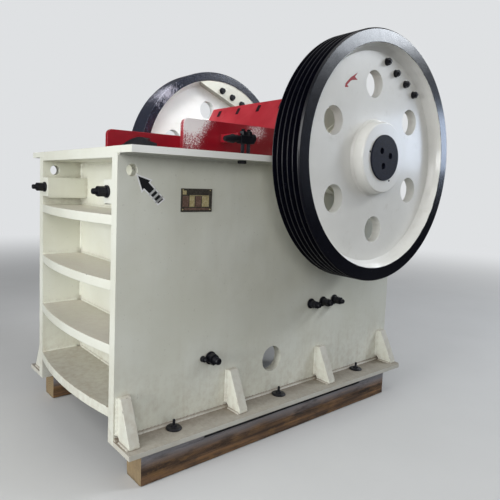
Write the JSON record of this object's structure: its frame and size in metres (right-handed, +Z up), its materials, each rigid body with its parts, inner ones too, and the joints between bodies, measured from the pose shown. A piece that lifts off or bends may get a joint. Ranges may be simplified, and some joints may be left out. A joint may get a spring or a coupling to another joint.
{
  "type": "jaw crusher",
  "caption": "Single-toggle jaw crusher: welded box frame with bowed front ribs, swing jaw on an eccentric shaft, flywheel and belt sheave at the sides, on timber skids.",
  "frame": {"origin": "middle of the footprint at ground level", "axes": "+X from the feed end to the rear, +Y across the machine towards the plain flywheel, +Z up"},
  "size_m": [2.417, 1.858, 2.438],
  "materials": {
    "cream_paint": "semi-gloss",
    "red_paint": "gloss",
    "wheel_black": "semi-gloss",
    "manganese_steel": "rough cast",
    "black_bolts": "satin",
    "dark_steel": "machined, oiled",
    "timber": "rough sawn",
    "brass_plate": "dull"
  },
  "bodies": {
    "frame": {"side_plate_near": "cream_paint", "side_plate_far": "cream_paint", "top_flange_near": "cream_paint", "top_flange_far": "cream_paint", "top_flange_front": "cream_paint", "front_wall": "cream_paint", "front_rib_1": "cream_paint", "front_rib_2": "cream_paint", "front_rib_3": "cream_paint", "front_rib_4": "cream_paint", "rear_wall": "cream_paint", "rear_ribs": "cream_paint", "base_flange_near": "cream_paint", "base_flange_far": "cream_paint", "gussets_near": "cream_paint", "gussets_far": "cream_paint", "timber_near": "timber", "timber_far": "timber", "tie_block_near": "cream_paint", "tie_block_far": "cream_paint", "side_studs_near": "black_bolts", "side_studs_far": "black_bolts", "nameplate": "brass_plate", "guard_plate_near": "red_paint", "guard_plate_far": "red_paint", "clamp_near": "black_bolts", "clamp_far": "black_bolts", "fixed_jaw_plate": "manganese_steel", "cheek_plate_near": "manganese_steel", "cheek_plate_far": "manganese_steel", "toggle_block": "dark_steel", "spring_beam": "cream_paint", "tension_spring": "black_bolts", "bearing_housing_near": "cream_paint", "bearing_housing_far": "cream_paint"},
    "rotor": {"eccentric_shaft": "dark_steel", "flywheel_grooved": "wheel_black", "flywheel_plain": "wheel_black", "counterweight_near": "cream_paint", "counterweight_far": "cream_paint"},
    "swing_jaw": {"pitman": "red_paint", "moving_jaw_plate": "manganese_steel", "jaw_guard": "red_paint", "toggle_plate": "dark_steel", "tension_rod": "black_bolts"}
  },
  "joints": [
    {"name": "rotor_spin", "type": "hinge", "parent": "frame", "child": "rotor", "pos_m": [0.4575, 0, 1.687], "axis": [0, -1, 0], "continuous": true},
    {"name": "jaw_swing", "type": "hinge", "parent": "frame", "child": "swing_jaw", "pos_m": [0.4575, 0, 1.687], "axis": [0, 1, 0], "range_deg": [-0.6, 0.6]}
  ]
}
